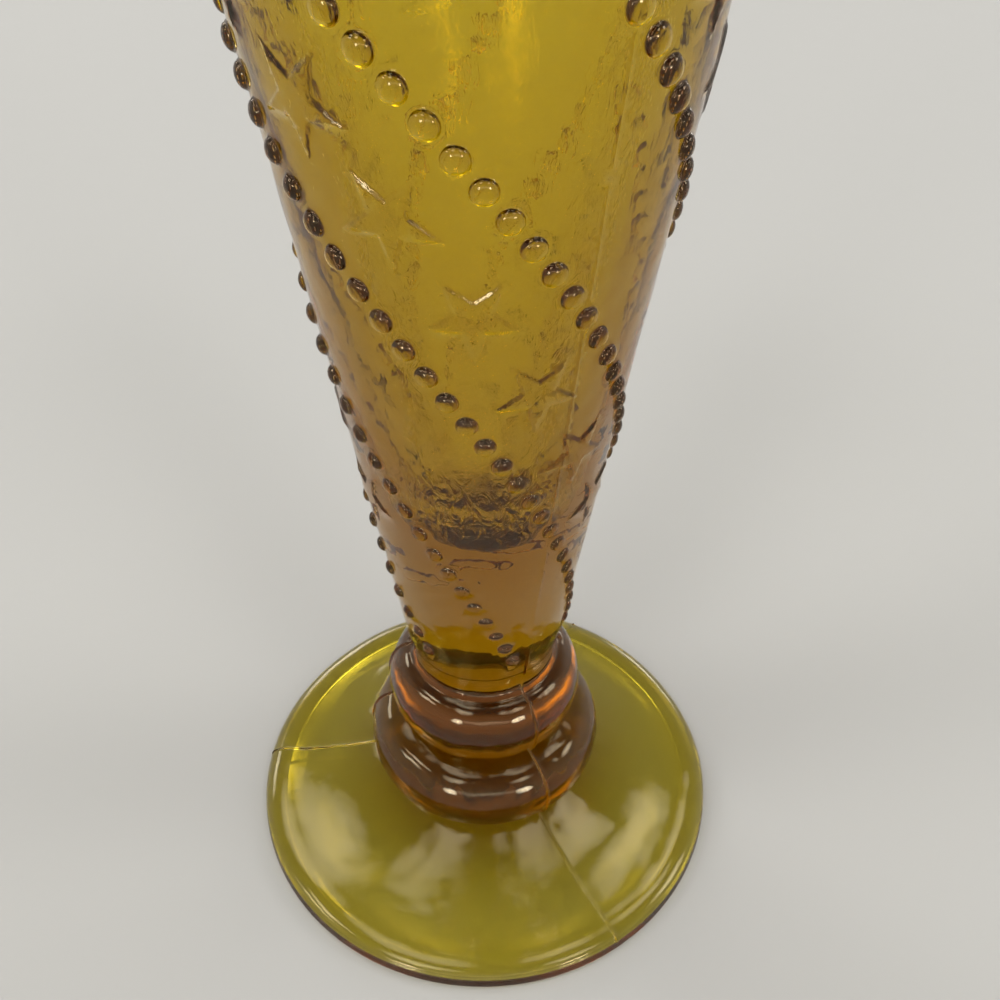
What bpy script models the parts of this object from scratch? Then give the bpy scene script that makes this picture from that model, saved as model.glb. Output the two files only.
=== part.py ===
"""A footed bud vase of pressed amber glass: a round foot, two knops, a short neck, a solid
beaded stem, and a hollow tapering bowl with swirling strings of beads and rows of stars.
Metres, +Z up, with the origin at the centre of the ring that it stands on."""

import math

import bmesh
import bpy
from mathutils import Matrix, Vector

# Overall sizes
HEIGHT = 0.200
MOUTH_RADIUS = 0.0352
FOOT_RADIUS = 0.040
JOINT_GAP = 0.0003
TURN_STEPS = 40

# The foot, a disc with a hollowed underside and a flat ring that it stands on. Its edge has a
# short skirt up to the mould's parting line, and a wide rounded shoulder above that
FOOT_EDGE = 0.0040
FOOT_SKIRT = 0.0009
FOOT_SHOULDER = 0.0046
PARTING_LINE = 0.0022
PARTING_INSET = 0.00035
FOOT_TOP = 0.0086
FOOT_NECK_RADIUS = 0.0165
FOOT_SWEEP_POWER = 1.7
FOOT_SWEEP_STEPS = 6
STANDING_RING_INNER = 0.0362
STANDING_RING_OUTER = 0.0384
UNDERSIDE_STEP = 0.0008
UNDERSIDE_DEPTH = 0.0030

# The two knops, each a fat turned bead of glass
LOWER_KNOP_RADIUS = 0.0197
LOWER_KNOP_HEIGHT = 0.0126
LOWER_KNOP_SWELL = 0.0050
UPPER_KNOP_RADIUS = 0.0158
UPPER_KNOP_HEIGHT = 0.0126
UPPER_KNOP_SWELL = 0.0042

# The neck, and the ledge by which it stands inside the taper above it
NECK_HEIGHT = 0.0052
NECK_RADIUS = 0.0113
NECK_WAIST_START = 0.15
NECK_WAIST_END = 0.35
TAPER_BASE_RADIUS = 0.0121

# The cavity inside the bowl, as the plunger left it
CAVITY_FLOOR = 0.0628
CAVITY_END = 0.010
CAVITY_END_RADIUS = 0.0077
LIP_WALL = 0.0028
LIP_HEIGHT = 0.005

# The swirl: each string drops as it goes round, a little more steeply near the stem
STRINGS = 6
BEADS_PER_TURN = 60
SWIRL_START = 1.0
SWIRL_HEIGHT = 0.120
SWIRL_LEAD = 0.194
SWIRL_STEEPENING = 0.040
PLAIN_BAND = 0.0125
PLAIN_BASE = 0.0035

# Each bead is a low dome, and smaller towards the stem
BEAD_MOUTH_RADIUS = 0.0019
BEAD_STEM_RADIUS = 0.0010
BEAD_RISE = 0.62
BEAD_SIDES = 6
BEAD_SINK_SHARE = 0.3

# The stars, which point down along the middle of every second band between strings
STAR_BANDS = 3
STARS_PER_TURN = 18
STAR_START = -22.0
STAR_MOUTH_RADIUS = 0.0067
STAR_STEM_RADIUS = 0.0045
STAR_WAIST = 0.40
STAR_TOP_SHARE = 0.93
STAR_RISE = 0.0004
STAR_SINK = 0.0008
STAR_LOWEST = 0.070

AMBER = (0.42, 0.19, 0.010, 1.0)
GLASS_IOR = 1.52
GLASS_ROUGHNESS = 0.04

# Heights that follow from the sizes above, from the foot up
LOWER_KNOP_TOP = FOOT_TOP + LOWER_KNOP_HEIGHT
UPPER_KNOP_TOP = LOWER_KNOP_TOP + UPPER_KNOP_HEIGHT
TAPER_BASE = UPPER_KNOP_TOP + NECK_HEIGHT
LIP_BASE = HEIGHT - LIP_HEIGHT
CAVITY_END_TOP = CAVITY_FLOOR + CAVITY_END
SLOPE = (MOUTH_RADIUS - TAPER_BASE_RADIUS) / (HEIGHT - TAPER_BASE)
SLOPE_ANGLE = math.atan(SLOPE)


def taper_radius(z):
    """The outer radius of the stem and bowl at a height."""
    return TAPER_BASE_RADIUS + SLOPE * (z - TAPER_BASE)


def cavity_radius(z):
    """The inner radius of the bowl at a height above its rounded end."""
    share = (z - CAVITY_END_TOP) / (HEIGHT - CAVITY_END_TOP)
    return CAVITY_END_RADIUS + share * (MOUTH_RADIUS - LIP_WALL - CAVITY_END_RADIUS)


def share_of_taper(z):
    return (taper_radius(z) - TAPER_BASE_RADIUS) / (MOUTH_RADIUS - TAPER_BASE_RADIUS)


def swirl_height(turn):
    """How high a string is when it has gone this many degrees past the front."""
    turns = turn / 360
    past_middle = turns - 1 / STRINGS
    return SWIRL_HEIGHT - SWIRL_LEAD * turns - SWIRL_STEEPENING * past_middle * past_middle


def bead_turns():
    """The turns, in degrees, at which a string has a bead, from the highest bead down."""
    step = 360 / BEADS_PER_TURN
    turns = [SWIRL_START + step * i for i in range(-BEADS_PER_TURN, BEADS_PER_TURN)]
    low, high = TAPER_BASE + PLAIN_BASE, HEIGHT - PLAIN_BAND
    return [turn for turn in turns if low < swirl_height(turn) < high]


def stem_joint():
    """The height where stem and bowl meet: the first gap between bead rows that lies under
    the cavity's floor with a bead row's worth of glass between."""
    heights = [swirl_height(turn) for turn in bead_turns()]
    gaps = [(upper + lower) / 2 for upper, lower in zip(heights, heights[1:])]
    floor = CAVITY_FLOOR - (heights[0] - heights[1])
    return max(gap for gap in gaps if gap < floor)


STEM_TOP = stem_joint()


def new_collection(name):
    collection = bpy.data.collections.new(name)
    bpy.context.scene.collection.children.link(collection)
    return collection


def amber_glass(name):
    """Clear amber glass, tinted all through."""
    material = bpy.data.materials.new(name)
    material.use_nodes = True
    shader = material.node_tree.nodes["Principled BSDF"]
    shader.inputs["Base Color"].default_value = AMBER
    shader.inputs["Metallic"].default_value = 0.0
    shader.inputs["Roughness"].default_value = GLASS_ROUGHNESS
    shader.inputs["IOR"].default_value = GLASS_IOR
    shader.inputs["Transmission Weight"].default_value = 1.0
    material.diffuse_color = AMBER
    return material


def arc(centre, across, up, start, end, steps):
    """Points of an elliptical arc in the (radius, height) plane, by angles in degrees."""
    angles = [math.radians(start + (end - start) * i / steps) for i in range(steps + 1)]
    return [(centre[0] + across * math.cos(a), centre[1] + up * math.sin(a)) for a in angles]


def turned(name, profile, parts):
    """A turned solid from a profile of (radius, height) points that starts and ends on the
    axis and runs down its outer side."""
    mesh = bpy.data.meshes.new(name)
    points = [(radius, 0.0, height) for radius, height in profile]
    edges = [(i, i + 1) for i in range(len(points) - 1)]
    mesh.from_pydata(points, edges, [])
    solid = bpy.data.objects.new(name, mesh)
    parts.objects.link(solid)
    screw = solid.modifiers.new("Turn", "SCREW")
    screw.steps = TURN_STEPS
    screw.render_steps = TURN_STEPS
    screw.use_merge_vertices = True
    screw.merge_threshold = 1e-6
    screw.use_smooth_shade = True
    solid.data.materials.append(amber_glass(name + "_glass"))
    return solid


def make_foot(parts):
    """The disc it stands on: a top that sweeps up to the lower knop, a rounded shoulder, a
    skirt under the parting line, and an underside hollowed inside the standing ring."""
    top = FOOT_TOP - JOINT_GAP
    shoulder = FOOT_RADIUS - FOOT_SHOULDER
    parting = FOOT_RADIUS - PARTING_INSET
    sweep = [
        (
            FOOT_NECK_RADIUS + (shoulder - FOOT_NECK_RADIUS) * i / FOOT_SWEEP_STEPS,
            FOOT_EDGE + (top - FOOT_EDGE) * (1 - i / FOOT_SWEEP_STEPS) ** FOOT_SWEEP_POWER,
        )
        for i in range(FOOT_SWEEP_STEPS)
    ]
    edge = arc(
        (shoulder, PARTING_LINE), parting - shoulder, FOOT_EDGE - PARTING_LINE, 90, 0, 4
    )
    edge += arc((FOOT_RADIUS - FOOT_SKIRT, FOOT_SKIRT), FOOT_SKIRT, FOOT_SKIRT, 0, -60, 2)
    hollow = [
        (
            STANDING_RING_INNER * (1 - i / 3),
            UNDERSIDE_STEP + (UNDERSIDE_DEPTH - UNDERSIDE_STEP) * math.sin(math.pi * i / 6),
        )
        for i in range(4)
    ]
    ring = [(STANDING_RING_OUTER, 0.0), (STANDING_RING_INNER, 0.0)]
    return turned("foot", [(0.0, top)] + sweep + edge + ring + hollow, parts)


def make_knop(name, base, height, radius, swell, parts):
    """One knop: an elliptical bulge between two flat faces where its neighbours meet it."""
    top = base + height - JOINT_GAP
    middle = base + (height - JOINT_GAP) / 2
    bulge = arc((radius - swell, middle), swell, top - middle, 90, -90, 8)
    return turned(name, [(0.0, top)] + bulge + [(0.0, base)], parts)


def make_neck(parts):
    """The short plain piece between the upper knop and the taper's lower edge."""
    top = TAPER_BASE - JOINT_GAP
    height = top - UPPER_KNOP_TOP
    upper = TAPER_BASE_RADIUS - (TAPER_BASE_RADIUS - NECK_RADIUS) / 3
    side = [
        (upper, top),
        (NECK_RADIUS, UPPER_KNOP_TOP + height * NECK_WAIST_END),
        (NECK_RADIUS, UPPER_KNOP_TOP + height * NECK_WAIST_START),
        (upper, UPPER_KNOP_TOP),
    ]
    return turned("neck", [(0.0, top)] + side + [(0.0, UPPER_KNOP_TOP)], parts)


def wall_frame(turn, z):
    """A frame on the taper: its Z points straight out of the glass, its Y up the slope."""
    angle = math.radians(turn)
    out = Vector((math.sin(angle), -math.cos(angle), 0.0))
    across = Vector((math.cos(angle), math.sin(angle), 0.0))
    normal = (out - Vector((0.0, 0.0, SLOPE))).normalized()
    frame = Matrix((across, normal.cross(across), normal)).transposed().to_4x4()
    frame.translation = out * taper_radius(z) + Vector((0.0, 0.0, z))
    return frame


def add_bead(relief, turn, z):
    """A dome cut from a sphere whose centre is sunk in the wall, with its buried half flat."""
    radius = BEAD_STEM_RADIUS + share_of_taper(z) * (BEAD_MOUTH_RADIUS - BEAD_STEM_RADIUS)
    rise = radius * BEAD_RISE
    ball = (radius * radius + rise * rise) / (2 * rise)
    made = bmesh.ops.create_uvsphere(relief, u_segments=BEAD_SIDES, v_segments=4, radius=ball)
    frame = wall_frame(turn, z)
    for vertex in made["verts"]:
        buried = vertex.co.z < 0
        vertex.co.z *= BEAD_SINK_SHARE if buried else 1.0
        vertex.co.z -= ball - rise
        vertex.co = frame @ vertex.co


def add_star(relief, turn, z):
    """A five-pointed star wrapped on the taper, one point down, with slightly sloping sides."""
    radius = STAR_STEM_RADIUS + share_of_taper(z) * (STAR_MOUTH_RADIUS - STAR_STEM_RADIUS)
    made = bmesh.ops.create_cone(
        relief,
        cap_ends=True,
        cap_tris=True,
        segments=10,
        radius1=radius,
        radius2=radius * STAR_TOP_SHARE,
        depth=STAR_RISE + STAR_SINK,
    )
    for vertex in made["verts"]:
        corner = round(math.atan2(vertex.co.x, -vertex.co.y) / math.radians(36))
        narrow = STAR_WAIST if corner % 2 else 1.0
        across, along = vertex.co.x * narrow, vertex.co.y * narrow
        out = vertex.co.z + (STAR_RISE - STAR_SINK) / 2
        height = z + along * math.cos(SLOPE_ANGLE)
        around = turn + math.degrees(across / taper_radius(height))
        vertex.co = wall_frame(around, height) @ Vector((0.0, 0.0, out))


def add_relief(solid, low, high, helpers):
    """Joins to a wall the beads and stars whose centres lie between two heights."""
    relief = bmesh.new()
    for string in range(STRINGS):
        for turn in bead_turns():
            z = swirl_height(turn)
            if low < z < high:
                add_bead(relief, turn - string * 360 / STRINGS, z)
    star_step = 360 / STARS_PER_TURN
    for band in range(STAR_BANDS):
        for i in range(-STARS_PER_TURN, STARS_PER_TURN):
            turn = STAR_START + star_step * i
            z = swirl_height(turn + 180 / STRINGS)
            lowest = max(low, STAR_LOWEST)
            if lowest < z < HEIGHT - PLAIN_BAND - STAR_MOUTH_RADIUS / 2 and z < high:
                add_star(relief, turn - band * 360 / STAR_BANDS, z)
    mesh = bpy.data.meshes.new(solid.name + "_relief")
    relief.to_mesh(mesh)
    relief.free()
    helper = bpy.data.objects.new(solid.name + "_relief", mesh)
    helper.hide_render = True
    helper.display_type = "WIRE"
    helpers.objects.link(helper)
    join = solid.modifiers.new("Relief", "BOOLEAN")
    join.operation = "UNION"
    join.solver = "EXACT"
    join.object = helper


def make_stem(parts, helpers):
    """The solid lower part of the taper, under the cavity."""
    top = STEM_TOP - JOINT_GAP
    side = [(taper_radius(top), top), (TAPER_BASE_RADIUS, TAPER_BASE)]
    stem = turned("stem", [(0.0, top)] + side + [(0.0, TAPER_BASE)], parts)
    add_relief(stem, TAPER_BASE, STEM_TOP, helpers)
    return stem


def make_bowl(parts, helpers):
    """The hollow upper part: a straight taper outside and a plunger-formed cavity inside."""
    top = LIP_BASE - JOINT_GAP
    end = arc((0.0, CAVITY_END_TOP), CAVITY_END_RADIUS, CAVITY_END, -90, 0, 6)
    rim = [(cavity_radius(top), top), (taper_radius(top), top)]
    floor = [(taper_radius(STEM_TOP), STEM_TOP), (0.0, STEM_TOP)]
    end[0] = (0.0, CAVITY_FLOOR)
    bowl = turned("bowl", end + rim + floor, parts)
    add_relief(bowl, STEM_TOP, LIP_BASE, helpers)
    return bowl


def make_lip(parts):
    """The fire-polished edge of the mouth, which is fully rounded on top."""
    half = LIP_WALL / 2
    crown = arc((MOUTH_RADIUS - half, HEIGHT - half), half, half, 180, 0, 6)
    base = [(cavity_radius(LIP_BASE), LIP_BASE)]
    outer = [(taper_radius(LIP_BASE), LIP_BASE)]
    return turned("lip", base + crown + outer + base, parts)


def main():
    for leftover in list(bpy.data.objects):
        bpy.data.objects.remove(leftover)
    parts = new_collection("bud_vase")
    helpers = new_collection("relief_helpers")
    make_foot(parts)
    make_knop(
        "lower_knop", FOOT_TOP, LOWER_KNOP_HEIGHT, LOWER_KNOP_RADIUS, LOWER_KNOP_SWELL, parts
    )
    make_knop(
        "upper_knop",
        LOWER_KNOP_TOP,
        UPPER_KNOP_HEIGHT,
        UPPER_KNOP_RADIUS,
        UPPER_KNOP_SWELL,
        parts,
    )
    make_neck(parts)
    make_stem(parts, helpers)
    make_bowl(parts, helpers)
    make_lip(parts)


main()
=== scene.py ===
"""A footed bud vase of pressed amber glass, dressed for a studio picture.

The real vase is one pressing, so all its forms share one closed skin of glass. The skin is a
function of two parameters: the azimuth round the vase, in degrees from the front towards +X, and
the distance along the half section, which runs from the middle of the underside out over the
foot, up the outer side, over the lip and down to the floor of the cavity. Metres, +Z up."""

import math

import bpy
import numpy as np
from mathutils import Matrix, Vector
from mathutils.geometry import delaunay_2d_cdt


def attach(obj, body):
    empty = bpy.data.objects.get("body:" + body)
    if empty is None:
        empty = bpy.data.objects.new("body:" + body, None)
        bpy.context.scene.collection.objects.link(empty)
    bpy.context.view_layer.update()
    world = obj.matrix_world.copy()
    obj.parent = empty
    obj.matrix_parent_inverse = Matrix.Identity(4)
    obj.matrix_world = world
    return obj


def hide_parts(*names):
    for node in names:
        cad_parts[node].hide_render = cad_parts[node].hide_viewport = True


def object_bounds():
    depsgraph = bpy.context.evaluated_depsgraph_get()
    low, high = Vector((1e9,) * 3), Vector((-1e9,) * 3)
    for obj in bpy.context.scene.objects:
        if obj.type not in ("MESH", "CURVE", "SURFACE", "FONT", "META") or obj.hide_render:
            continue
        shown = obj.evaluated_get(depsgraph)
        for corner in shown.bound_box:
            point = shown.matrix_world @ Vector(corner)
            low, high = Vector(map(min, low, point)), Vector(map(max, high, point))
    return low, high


bl_info = {
    "name": "Pressed glass bud vase",
    "version": (1, 0, 0),
    "blender": (4, 5, 0),
    "location": "3D View > Sidebar > Bud vase",
    "description": "Builds an amber pressed glass bud vase and its studio stage",
    "category": "Add Mesh",
}

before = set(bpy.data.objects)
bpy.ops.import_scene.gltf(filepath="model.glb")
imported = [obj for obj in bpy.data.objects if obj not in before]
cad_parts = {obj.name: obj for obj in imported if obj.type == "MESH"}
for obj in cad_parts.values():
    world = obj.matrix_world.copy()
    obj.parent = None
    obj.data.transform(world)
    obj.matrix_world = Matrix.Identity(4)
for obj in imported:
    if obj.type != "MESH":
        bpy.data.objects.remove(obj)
FRAME_LOW, FRAME_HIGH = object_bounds()
GLASS_NODES = ("foot", "lower_knop", "upper_knop", "neck", "stem", "bowl", "lip")

# The foot, with its standing ring and its hollowed underside
FOOT_EDGE = 0.0040
FOOT_SKIRT = 0.0009
FOOT_SHOULDER = 0.0046
PARTING_LINE = 0.0022
PARTING_INSET = 0.00035
FOOT_TOP = 0.0086
FOOT_NECK_RADIUS = 0.0165
FOOT_SWEEP = 1.7
RING_INNER = 0.0362
RING_OUTER = 0.0384
UNDERSIDE_DEPTH = 0.0030
UNDERSIDE_FULLNESS = 0.7

# The knops: the middle's height, half the height, the radius and how far each one swells, then
# the angles at which its arc starts and ends, where it runs into its neighbours
LOWER_KNOP = (0.0149, 0.0063, 0.0197, 0.0050, -66, 75)
UPPER_KNOP = (0.0275, 0.0063, 0.0158, 0.0042, -66, 84)

# The neck, with the heights between which it is narrowest and its radius and height at the top,
# and the foot of the taper, which overhangs it by a narrow ledge
NECK_RADIUS = 0.0113
NECK_WAIST = (0.0347, 0.0357)
NECK_TOP = (0.0118, 0.0386)
TAPER_BASE = 0.039
TAPER_BASE_RADIUS = 0.0121

# The swirl: each string of beads drops as it goes round
STRINGS = 6
BEAD_STEP = 6.0
SWIRL_START = 1.0
SWIRL_HEIGHT = 0.120
SWIRL_LEAD = 0.194
SWIRL_STEEPENING = 0.040
PLAIN_BAND = 0.0125
PLAIN_BASE = 0.0035

# The stars stand along the middle of every second band between strings
STAR_BANDS = 3
STAR_STEP = 20.0
STAR_START = -22.0
STAR_WAIST = 0.40
STAR_LOWEST = 0.070

# The chill wrinkles in the cavity: how strong they are all over and in the upright bands, and the
# heights between which they fade above the rounded end, where they are full. Then the bands:
# azimuth and half the width in degrees, and the heights of the lower and upper ends
CHILL_ALL_OVER = 0.06
CHILL_IN_BANDS = 0.7
CHILL_END = (0.070, 0.080)
CHILL_BANDS = (
    (-171, 6, 0.064, 0.104),
    (172, 4.5, 0.076, 0.112),
    (-109, 4, 0.100, 0.120),
)

# The three joints of the mould, as azimuths
MOULD_SEAMS = (31.0, 151.0, -94.0)

# How uneven the pressing is. Each set of waves has a height and a length, and a seed for its
# random draws: long and fine ones on the outer skin, then those on the cavity's wall and on the
# underside. Distance along the cavity's wall counts for this share, which draws its waves out.
# Every set has this many waves, which fit a whole number of times round a circle of this radius
OUTER_WAVE = (0.000035, 0.013, 3)
FINE_WAVE = (0.000012, 0.0042, 4)
CAVITY_WAVE = (0.000070, 0.011, 5)
UNDERSIDE_WAVE = (0.000030, 0.009, 6)
CAVITY_DRAWN = 0.35
WAVE_COUNT = 14
WAVE_RADIUS = 0.020

# The ridges that the mould left, and how beads and stars meet the wall
PARTING_RISE = 0.00015
PARTING_WIDTH = 0.00014
SEAM_WIDTH = 0.00012
SEAM_LEFT_ON_TAPER = 0.25
BEAD_FALL = 1.2
BEAD_CORNER = 0.00015
STAR_EDGE_INSIDE = 0.00045
STAR_EDGE_OUTSIDE = 0.00020

# The mesh. Slopes are taken between points this far to either side. The net over the taper runs
# from just above its foot to just below the lip. Columns of points follow each seam at set
# distances, drawn together where a row is smaller than the seams' smallest radius. Each bead has
# rings of points: a ring's radius as a share of the bead's, and how many points it has
NORMAL_REACH = 0.00006
NET_ABOVE_BASE = 0.0015
NET_BELOW_LIP = 0.007
SEAM_COLUMNS = np.array([-0.00045, -0.0002, -0.00009, 0, 0.00009, 0.0002, 0.00045])
SEAM_SMALLEST_RADIUS = 0.0092
BEAD_RINGS = ((0, 1), (0.36, 8), (0.66, 14), (0.86, 18), (0.97, 20), (1.08, 20), (1.24, 18))

# The camera, fitted to the outlines of the foot, both knops and the taper in the photograph: its
# place, how far it looks down, to the right and aslant in radians, and its lens in millimetres
CAMERA_PLACE = (0.0, -0.107508, 0.149845)
CAMERA_PITCH = 0.67204
CAMERA_YAW = 0.02304
CAMERA_ROLL = 0.00468
CAMERA_LENS = 34.2
CAMERA_SENSOR = 36.0

# The stage. The floor is a round disc, made of rings of these radii. The pale walls end at the
# first of two elevations, in degrees, and the dim ceiling starts at the second
FLOOR_RINGS = (0.25, 0.7, 1.6, 4.0)
WALL_TOP = 12
CEILING_START = 60

# The soft lamps: azimuth from +Y towards +X, elevation, half the width and half the height, all
# in degrees, and brightness
STUDIO_LAMPS = (
    (-120, 75, 15, 10, 4.5),
    (112, 75, 12, 10, 4.5),
    (-66, 73, 8, 8, 3.5),
    (-40, 57, 12, 10, 5.5),
    (42, 58, 8, 11, 6.0),
    (74, 60, 7, 10, 6.0),
    (-51, 29, 9, 7, 10.0),
    (-102, 46, 13, 5, 13.0),
    (-104, 31, 13, 5, 13.0),
    (93, 34, 12, 11, 10.0),
    (-148, 48, 13, 12, 8.0),
    (142, 44, 11, 10, 8.0),
    (-149, 9, 8, 8, 26.0),
    (147, 9, 8, 8, 26.0),
    (180, 14, 40, 6, 3.0),
    (-24, 18, 14, 9, 8.0),
    (30, 14, 12, 7, 8.0),
)


def arc(centre, across, up, start, end, steps=24):
    """Points of an elliptical arc: the centre plus across times the cosine and up times the sine
    of angles that run evenly from start to end, in degrees."""
    angle = np.radians(np.linspace(start, end, steps + 1))
    return np.stack([centre[0] + across * np.cos(angle), centre[1] + up * np.sin(angle)], 1)


def linear(hex_colour):
    """An sRGB hex colour, turned to the linear red, green, blue and alpha that shaders take."""
    channels = [int(hex_colour[i : i + 2], 16) / 255 for i in (1, 3, 5)]
    straight = [c / 12.92 if c <= 0.04045 else ((c + 0.055) / 1.055) ** 2.4 for c in channels]
    return (*straight, 1.0)


class VaseSizes(bpy.types.PropertyGroup):
    """The sizes of the vase that a user would change."""

    foot_radius: bpy.props.FloatProperty(
        name="Foot radius",
        description="Radius of the round foot",
        default=(FRAME_HIGH[0] - FRAME_LOW[0]) / 2,
        unit="LENGTH",
    )
    height: bpy.props.FloatProperty(
        name="Height",
        description="Height of the lip above the floor",
        default=FRAME_HIGH[2],
        unit="LENGTH",
    )
    mouth_radius: bpy.props.FloatProperty(
        name="Mouth radius",
        description="Outer radius of the lip",
        default=0.0352,
        unit="LENGTH",
    )
    lip_wall: bpy.props.FloatProperty(
        name="Lip wall",
        description="Thickness of the glass at the lip",
        default=0.0028,
        unit="LENGTH",
    )
    cavity_floor: bpy.props.FloatProperty(
        name="Cavity floor",
        description="Height of the lowest point of the cavity",
        default=0.0628,
        unit="LENGTH",
    )
    cavity_end: bpy.props.FloatProperty(
        name="Cavity end",
        description="Height of the cavity's rounded end",
        default=0.010,
        unit="LENGTH",
    )
    cavity_end_radius: bpy.props.FloatProperty(
        name="Cavity end radius",
        description="Radius of the cavity where its rounded end starts",
        default=0.0077,
        unit="LENGTH",
    )
    bead_mouth_radius: bpy.props.FloatProperty(
        name="Bead radius at the mouth",
        description="Radius of the beads nearest the lip",
        default=0.0019,
        unit="LENGTH",
    )
    bead_stem_radius: bpy.props.FloatProperty(
        name="Bead radius at the stem",
        description="Radius of the beads at the bottom of the taper",
        default=0.0010,
        unit="LENGTH",
    )
    bead_rise: bpy.props.FloatProperty(
        name="Bead rise",
        description="Height of a bead as a share of its radius",
        default=0.66,
    )
    star_mouth_radius: bpy.props.FloatProperty(
        name="Star radius at the mouth",
        description="Radius of a star through its points, nearest the lip",
        default=0.0067,
        unit="LENGTH",
    )
    star_stem_radius: bpy.props.FloatProperty(
        name="Star radius at the stem",
        description="Radius of a star through its points, if one stood at the taper's foot",
        default=0.0045,
        unit="LENGTH",
    )
    star_rise: bpy.props.FloatProperty(
        name="Star rise",
        description="How far the flat top of a star stands out of the wall",
        default=0.0003,
        unit="LENGTH",
    )
    seam_rise: bpy.props.FloatProperty(
        name="Mould seam rise",
        description="Height of the fine ridge where two parts of the mould met",
        default=0.00032,
        unit="LENGTH",
    )


class GlassLook(bpy.types.PropertyGroup):
    """The colour and finish of the glass."""

    tint: bpy.props.FloatVectorProperty(
        name="Tint",
        description="Colour that is left of white light along the absorption's own depth",
        subtype="COLOR",
        default=linear("#f5ed5c")[:3],
    )
    density: bpy.props.FloatProperty(
        name="Density",
        description="How strongly a metre of the glass absorbs what its tint doesn't pass",
        default=430.0,
    )
    reflections: bpy.props.FloatVectorProperty(
        name="Reflections",
        description="Colour that the skin gives to what it mirrors",
        subtype="COLOR",
        default=linear("#fff0cc")[:3],
    )
    refraction: bpy.props.FloatProperty(
        name="Index of refraction",
        description="Index of refraction of soda-lime glass",
        default=1.52,
    )
    polish: bpy.props.FloatProperty(
        name="Fire-polished roughness",
        description="Roughness of the outer skin",
        default=0.02,
    )
    plunger: bpy.props.FloatProperty(
        name="Plunger-formed roughness",
        description="Roughness of the cavity's wall",
        default=0.06,
    )
    underside: bpy.props.FloatProperty(
        name="Underside roughness",
        description="Roughness of the stippled underside of the foot",
        default=0.12,
    )


class StudioLook(bpy.types.PropertyGroup):
    """The plain stage that the vase stands on."""

    floor: bpy.props.FloatVectorProperty(
        name="Floor",
        description="Colour of the matt floor",
        subtype="COLOR",
        default=linear("#bdbcb9")[:3],
    )
    backdrop: bpy.props.FloatVectorProperty(
        name="Backdrop",
        description="Colour of the backdrop",
        subtype="COLOR",
        default=linear("#dcdbd8")[:3],
    )
    ceiling: bpy.props.FloatProperty(
        name="Ceiling",
        description="Brightness of the dim ceiling, against the pale walls of the studio",
        default=0.28,
    )
    lamps: bpy.props.FloatProperty(
        name="Lamps",
        description="Brightness of all the soft lamps together",
        default=1.05,
    )


def vase_section(sizes):
    """The half section: radius and height at even distances along it. Straight lines and
    elliptical arcs join the forms, and every corner is then rounded by averaging each point with
    its neighbours under a bell curve 0.2 mm wide."""
    shoulder = sizes.foot_radius - FOOT_SHOULDER
    parting = sizes.foot_radius - PARTING_INSET
    across = np.linspace(0, 1, 40)
    sweep = np.stack(
        [
            shoulder + (FOOT_NECK_RADIUS - shoulder) * across,
            FOOT_EDGE + (FOOT_TOP - FOOT_EDGE) * across**FOOT_SWEEP,
        ],
        1,
    )
    hollow_out = np.linspace(0, 1, 90)
    hollow = np.stack(
        [
            RING_INNER * hollow_out,
            UNDERSIDE_DEPTH * (1 - hollow_out**2) ** UNDERSIDE_FULLNESS,
        ],
        1,
    )
    knops = [
        arc((radius - swell, middle), swell, half, start, end)
        for middle, half, radius, swell, start, end in (LOWER_KNOP, UPPER_KNOP)
    ]
    neck = [(NECK_RADIUS, height) for height in NECK_WAIST]
    crown = sizes.lip_wall / 2
    lip = arc(
        (sizes.mouth_radius - crown, sizes.height - crown), crown, crown, 0, 180
    )
    end_top = sizes.cavity_floor + sizes.cavity_end
    cavity = arc((0.0, end_top), sizes.cavity_end_radius, sizes.cavity_end, 0, -90)
    points = np.concatenate(
        [
            hollow,
            [(RING_INNER, 0.0), (RING_OUTER, 0.0)],
            arc((sizes.foot_radius - FOOT_SKIRT, FOOT_SKIRT), FOOT_SKIRT, FOOT_SKIRT, -60, 0, 10),
            [(parting, PARTING_LINE)],
            arc(
                (shoulder, PARTING_LINE), parting - shoulder, FOOT_EDGE - PARTING_LINE, 8, 82, 14
            ),
            sweep,
            *knops,
            neck,
            [NECK_TOP, (TAPER_BASE_RADIUS, TAPER_BASE)],
            lip,
            cavity,
        ]
    )
    steps = np.hypot(*np.diff(points, axis=0).T)
    points = points[np.concatenate([[True], steps > 1e-7])]
    along = np.concatenate([[0], np.cumsum(np.hypot(*np.diff(points, axis=0).T))])
    spacing = 0.00004
    even = np.linspace(0, along[-1], int(along[-1] / spacing))
    radius = np.interp(even, along, points[:, 0])
    height = np.interp(even, along, points[:, 1])
    reach = 25
    bell = np.exp(-0.5 * (np.arange(-reach, reach + 1) * spacing / 0.0002) ** 2)
    bell /= bell.sum()
    radius = np.concatenate([-radius[reach:0:-1], radius, -radius[-2 : -reach - 2 : -1]])
    height = np.concatenate([height[reach:0:-1], height, height[-2 : -reach - 2 : -1]])
    radius = np.convolve(radius, bell, "valid")
    height = np.convolve(height, bell, "valid")
    return even, np.maximum(radius, 0.0), height


def taper_slope(sizes):
    """How much the taper's radius grows with each metre of height."""
    return (sizes.mouth_radius - TAPER_BASE_RADIUS) / (sizes.height - TAPER_BASE)


def taper_radius(height, sizes):
    """The plain outer radius of the taper at a height."""
    return TAPER_BASE_RADIUS + taper_slope(sizes) * (height - TAPER_BASE)


def share_of_taper(height, sizes):
    """How far up the taper a height is, from 0 at its foot to 1 at the lip."""
    return (height - TAPER_BASE) / (sizes.height - TAPER_BASE)


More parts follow.
